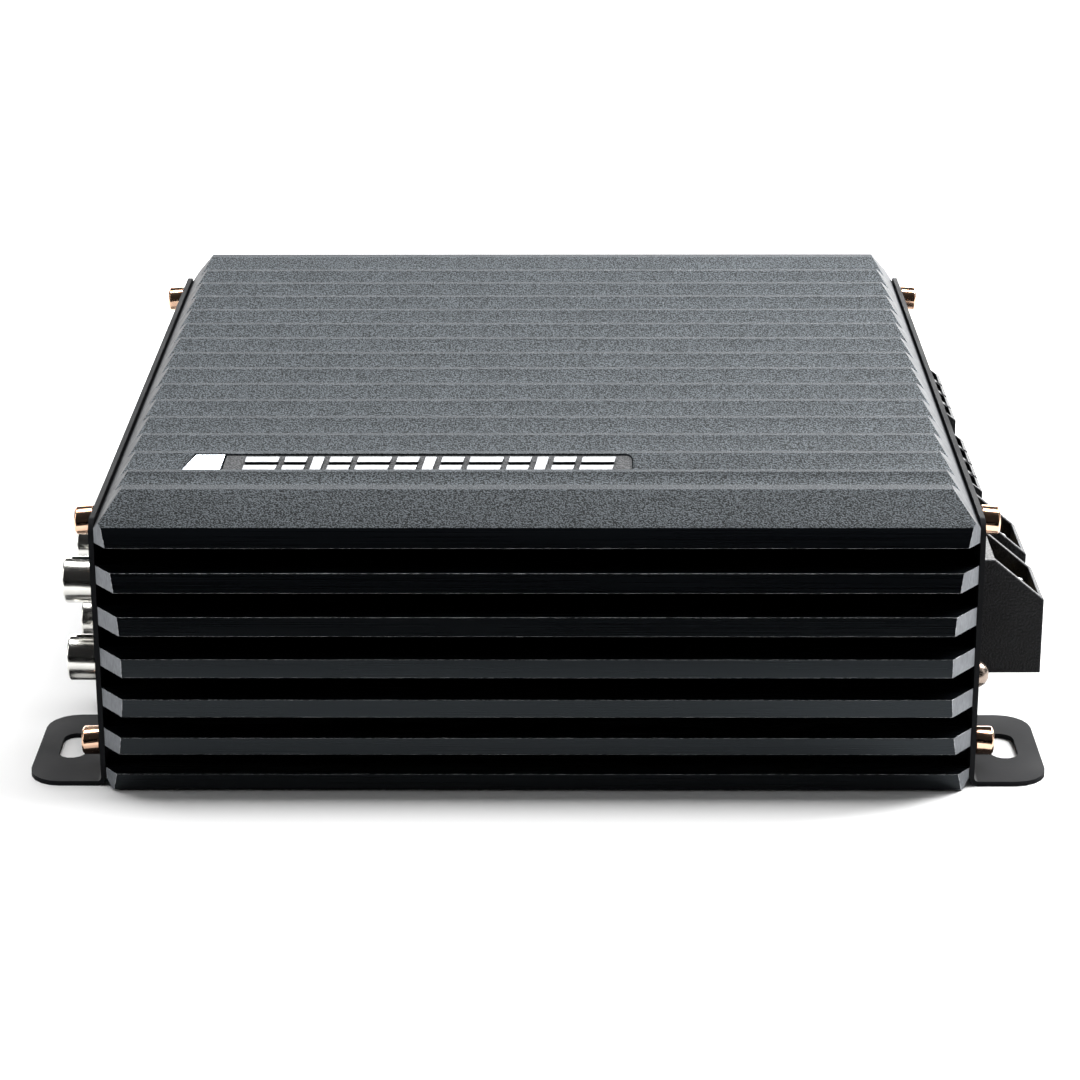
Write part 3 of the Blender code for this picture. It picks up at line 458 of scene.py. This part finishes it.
def refine_all():
    refine("heatsink", HEATSINK_FINISHES, 0.2, 24, 2, heatsink_face, heatsink_rounding)
    for name in ("left_end_plate", "right_end_plate"):
        refine(name, [SHEET], 0.2, 50, 3)
    refine("bottom_cover", [SHEET], 0.2, 50)
    for name in named("end_screw"):
        refine(name, [COPPER], 0.12, 40, flat=0)
    for name in named("rca_shell"):
        refine(name, [NICKEL], 0.1, 40, flat=0)
    refine("panel_screw", [DARK_NICKEL], 0.1, 60)
    for word in ("cover_screw", "clamp_screw", "speaker_screw", "clamp_bar"):
        for name in named(word):
            refine(name, [ZINC], 0.1, 40)
    for name in ("ground_clamp", "battery_clamp"):
        refine(name, [BRASS], 0.2, 50)
    for name in named("_terminal"):
        # Every rounded edge of a terminal takes the lighter plastic as a painted highlight.
        refine(name, [BLACK, TERMINAL_EDGE_HIGHLIGHT], 0.22, 50, 3, None, lambda centre: 1)
    for word in ("_control", "_adjuster", "transistor", "rca_housing", "filter_switch"):
        for name in named(word):
            refine(name, [BLACK], 0.2, 50)
    refine("name_strip", [GREY], 0.06, 50)
    refine("name_strip_tile", [SILVER], 0.1, 50)
    refine("filter_slider", [SILVER], 0.2, 50)
    refine("circuit_board", [MASK], 0.1, 50)
    for name in ("power_transformer", "filter_choke"):
        refine(name, [WIRE], 0)
    for name in named("reservoir_capacitor"):
        refine(name, [SLEEVE], 0.2, 50)
    refine("indicator_light", [LENS], 0)


# ---- small details ----


def make_bars():
    """Raised silver bars along the name strip: a plain slanted pattern, with black sides as
    painted shade.
    """
    faces = nodes["name_strip"].data.polygons
    top = max((face for face in faces if face.normal.z > 0.5), key=lambda face: face.area)
    normal = top.normal.normalized()
    slope = normal.cross(Vector((-1, 0, 0))).normalized()
    if slope.z < 0:
        slope.negate()
    low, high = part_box("name_strip")
    centre = Vector(((low.x + high.x) / 2, top.center.y, top.center.z))
    middle = centre + slope * (0.5 * (low.z + high.z) - centre.z) / slope.z
    start, end = low.x + BAR_MARGINS[0], high.x - BAR_MARGINS[1]
    unit = (end - start - BAR_GAP * (len(BAR_WIDTHS) - 1)) / sum(BAR_WIDTHS)
    half = BAR_HEIGHT / 2
    split = [(-half, -BAR_SLIT), (BAR_SLIT, half)]
    shape = bmesh.new()
    left = start
    for width in BAR_WIDTHS:
        right = left + width * unit
        for along in split if width > 1 else [(-half, half)]:
            add_bar(shape, middle, slope, normal, (left, right), along)
        left = right + BAR_GAP
    piece = add_piece("name_strip_emblem", shape, SATIN, BLACK)
    # Faces that don't face out from the strip take black plastic: painted shade on the bars'
    # sides.
    for face in piece.data.polygons:
        face.material_index = 0 if face.normal.dot(normal) > 0.9 else 1
    rounding = piece.modifiers.new("rounding", "BEVEL")
    rounding.width = 0.06 * MM
    rounding.segments = 2
    rounding.limit_method = "ANGLE"


def add_bar(shape, middle, slope, normal, across, along):
    """One slanted bar standing on the strip, from its limits in X and along the slope."""
    low, high = along
    left, right = across
    outline = [(left, low), (right, low), (right, high), (left, high)]
    rings = []
    for lift in (BAR_FOOT, BAR_THICK):
        base = Vector((0, middle.y, middle.z)) + normal * lift
        places = [Vector((x + BAR_LEAN * v, 0, 0)) + slope * (v + BAR_RISE) for x, v in outline]
        rings.append([shape.verts.new(base + place) for place in places])
    lower, upper = rings
    shape.faces.new(list(reversed(lower)))
    shape.faces.new(upper)
    for i in range(4):
        j = (i + 1) % 4
        shape.faces.new((lower[i], lower[j], upper[j], upper[i]))


def make_jack_contacts():
    """Gold centre contacts of the signal jacks."""
    shape = bmesh.new()
    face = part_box("rca_housing")[0].x
    for name in named("rca_shell"):
        low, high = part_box(name)
        centre = Vector((face, (low.y + high.y) / 2, (low.z + high.z) / 2))
        add_disc(shape, centre, CONTACT_R, CONTACT_HALF)
    add_piece("jack_contacts", shape, GOLD)


def plate_points(name):
    """X of each point of an end plate's upright sheet."""
    return [point.co.x for point in nodes[name].data.vertices if point.co.z > ABOVE_FEET]


def make_dial_ticks():
    """White ticks on the plate round each adjuster, from its lowest to its highest setting."""
    shape = bmesh.new()
    plate = min(plate_points("left_end_plate"))
    for name in named("_adjuster"):
        low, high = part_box(name)
        centre = Vector((plate, (low.y + high.y) / 2, (low.z + high.z) / 2))
        for step in range(-TICK_STEPS, TICK_STEPS + 1):
            turn = Matrix.Rotation(radians(step * TICK_TURN / TICK_STEPS), 3, "X")
            spoke = turn @ Vector((0, 0, 1))
            side = spoke.cross(Vector((1, 0, 0)))
            half = TICK_HALVES[0 if step % TICK_STEPS else 1]
            edges = (Vector((INK_HALF, 0, 0)), spoke * half, side * TICK_WIDE)
            add_slab(shape, centre + spoke * TICK_R, *edges)
    add_piece("dial_ticks", shape, INK)


def make_polarity_marks():
    """Plus and minus signs on the flat tops of the power terminals."""
    shape = bmesh.new()
    plate = max(plate_points("right_end_plate"))
    up = Vector((0, 0, INK_HALF))
    for name in ("ground_terminal", "battery_terminal"):
        low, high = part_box(name)
        centre = Vector((plate + SIGN_OUT, (low.y + high.y) / 2, high.z))
        add_slab(shape, centre, up, Vector((SIGN_WIDE, 0, 0)), Vector((0, SIGN_LONG, 0)))
        if name == "battery_terminal":
            add_slab(shape, centre, up, Vector((SIGN_LONG, 0, 0)), Vector((0, SIGN_WIDE, 0)))
    add_piece("polarity_marks", shape, INK)


# ---- floor, light and camera ----


def make_floor():
    shape = bmesh.new()
    bmesh.ops.create_grid(shape, x_segments=2, y_segments=2, size=6.0)
    made = Shader("floor_white", (0.9, 0.9, 0.9), 0.9, Specular_IOR_Level=0.0)
    made.vary("Base Color", made.noise(0.002, 1.0), 0.9, 0.92)
    make_object("floor", shape, [made.material])


def make_flag():
    """A low black card in front, seen only in reflections, which keeps the upper fins dark."""
    half, y, top = 0.5, -0.165, 0.05
    shape = bmesh.new()
    corners = [(-half, y, 0.0), (half, y, 0.0), (half, y, top), (-half, y, top)]
    shape.faces.new([shape.verts.new(corner) for corner in corners])
    made = Shader("flag_black", (0.0, 0.0, 0.0), 1.0, Specular_IOR_Level=0.0)
    made.vary("Base Color", made.noise(0.01, 1.0), 0.0, 0.002)
    flag = make_object("black_flag", shape, [made.material])
    flag.visible_camera = False
    flag.visible_diffuse = False
    flag.visible_shadow = False


def make_lights():
    for name, place, target, size, power in LIGHTS:
        data = bpy.data.lights.new(name, "AREA")
        data.shape = "RECTANGLE"
        data.size, data.size_y = size
        data.energy = power
        light = bpy.data.objects.new(name, data)
        light.location = place
        aim = Vector(target) - Vector(place)
        light.rotation_euler = aim.to_track_quat("-Z", "Y").to_euler()
        bpy.context.collection.objects.link(light)
    world = bpy.data.worlds.new("studio")
    bpy.context.scene.world = world
    world.use_nodes = True
    background = world.node_tree.nodes["Background"]
    background.inputs["Color"].default_value = (1, 1, 1, 1)
    background.inputs["Strength"].default_value = 0.02


def make_camera():
    data = bpy.data.cameras.new("camera")
    data.sensor_width = 36.0
    data.lens = CAMERA_LENS
    data.clip_start, data.clip_end = 0.01, 20.0
    camera = bpy.data.objects.new("camera", data)
    camera.location = CAMERA_PLACE
    azimuth = Matrix.Rotation(radians(CAMERA_AZIMUTH), 3, "Z")
    pitch = Matrix.Rotation(radians(90 - CAMERA_DOWN), 3, "X")
    roll = Matrix.Rotation(radians(CAMERA_ROLL), 3, "Z")
    camera.rotation_euler = (azimuth @ pitch @ roll).to_euler()
    bpy.context.collection.objects.link(camera)
    bpy.context.scene.camera = camera


refine_all()
make_bars()
make_jack_contacts()
make_dial_ticks()
make_polarity_marks()
make_floor()
make_flag()
make_lights()
make_camera()
bpy.context.scene.view_settings.view_transform = "Standard"
